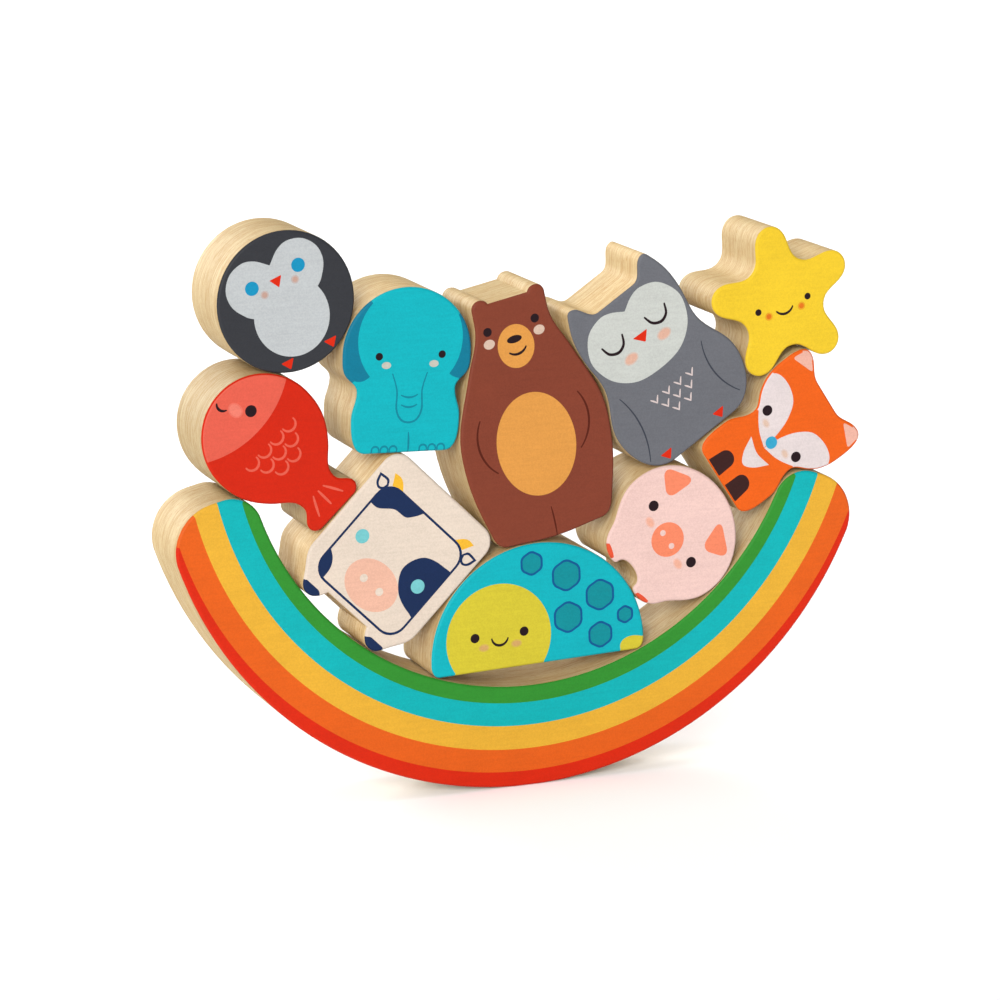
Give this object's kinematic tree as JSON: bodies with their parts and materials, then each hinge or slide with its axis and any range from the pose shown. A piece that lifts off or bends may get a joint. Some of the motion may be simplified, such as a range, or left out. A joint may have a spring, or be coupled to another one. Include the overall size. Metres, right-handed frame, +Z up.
{
  "type": "rainbow balancing puzzle",
  "caption": "Painted wooden balancing toy: a curved rainbow rocker whose trough holds a stack of loose animal and star blocks cut from the same board.",
  "frame": {"origin": "on the surface it stands on, under the middle of its overall length and depth", "axes": "+X to the right as seen from the printed front, +Y to the back through the board, +Z up"},
  "size_m": [0.212, 0.024, 0.1685],
  "materials": {
    "rainbow_wood": "satin paint",
    "turtle_wood": "satin paint",
    "cow_wood": "satin paint",
    "pig_wood": "satin paint",
    "bear_wood": "satin paint",
    "fox_wood": "satin paint",
    "fish_wood": "satin paint",
    "owl_wood": "satin paint",
    "elephant_wood": "satin paint",
    "penguin_wood": "satin paint",
    "star_wood": "satin paint"
  },
  "bodies": {
    "rainbow": {"rainbow": "rainbow_wood"},
    "turtle": {"turtle": "turtle_wood"},
    "cow": {"cow": "cow_wood"},
    "pig": {"pig": "pig_wood"},
    "bear": {"bear": "bear_wood"},
    "fox": {"fox": "fox_wood"},
    "fish": {"fish": "fish_wood"},
    "owl": {"owl": "owl_wood"},
    "elephant": {"elephant": "elephant_wood"},
    "penguin": {"penguin": "penguin_wood"},
    "star": {"star": "star_wood"}
  },
  "joints": [
    {"name": "turtle_slide", "type": "slide", "parent": "rainbow", "child": "turtle", "axis": [0, -1, 0], "range_m": [0, 0.06]},
    {"name": "cow_slide", "type": "slide", "parent": "rainbow", "child": "cow", "axis": [0, -1, 0], "range_m": [0, 0.06]},
    {"name": "pig_slide", "type": "slide", "parent": "rainbow", "child": "pig", "axis": [0, -1, 0], "range_m": [0, 0.06]},
    {"name": "bear_slide", "type": "slide", "parent": "rainbow", "child": "bear", "axis": [0, -1, 0], "range_m": [0, 0.06]},
    {"name": "fox_slide", "type": "slide", "parent": "rainbow", "child": "fox", "axis": [0, -1, 0], "range_m": [0, 0.06]},
    {"name": "fish_slide", "type": "slide", "parent": "rainbow", "child": "fish", "axis": [0, -1, 0], "range_m": [0, 0.06]},
    {"name": "owl_slide", "type": "slide", "parent": "rainbow", "child": "owl", "axis": [0, -1, 0], "range_m": [0, 0.06]},
    {"name": "elephant_slide", "type": "slide", "parent": "rainbow", "child": "elephant", "axis": [0, -1, 0], "range_m": [0, 0.06]},
    {"name": "penguin_slide", "type": "slide", "parent": "rainbow", "child": "penguin", "axis": [0, -1, 0], "range_m": [0, 0.06]},
    {"name": "star_slide", "type": "slide", "parent": "rainbow", "child": "star", "axis": [0, -1, 0], "range_m": [0, 0.06]}
  ]
}
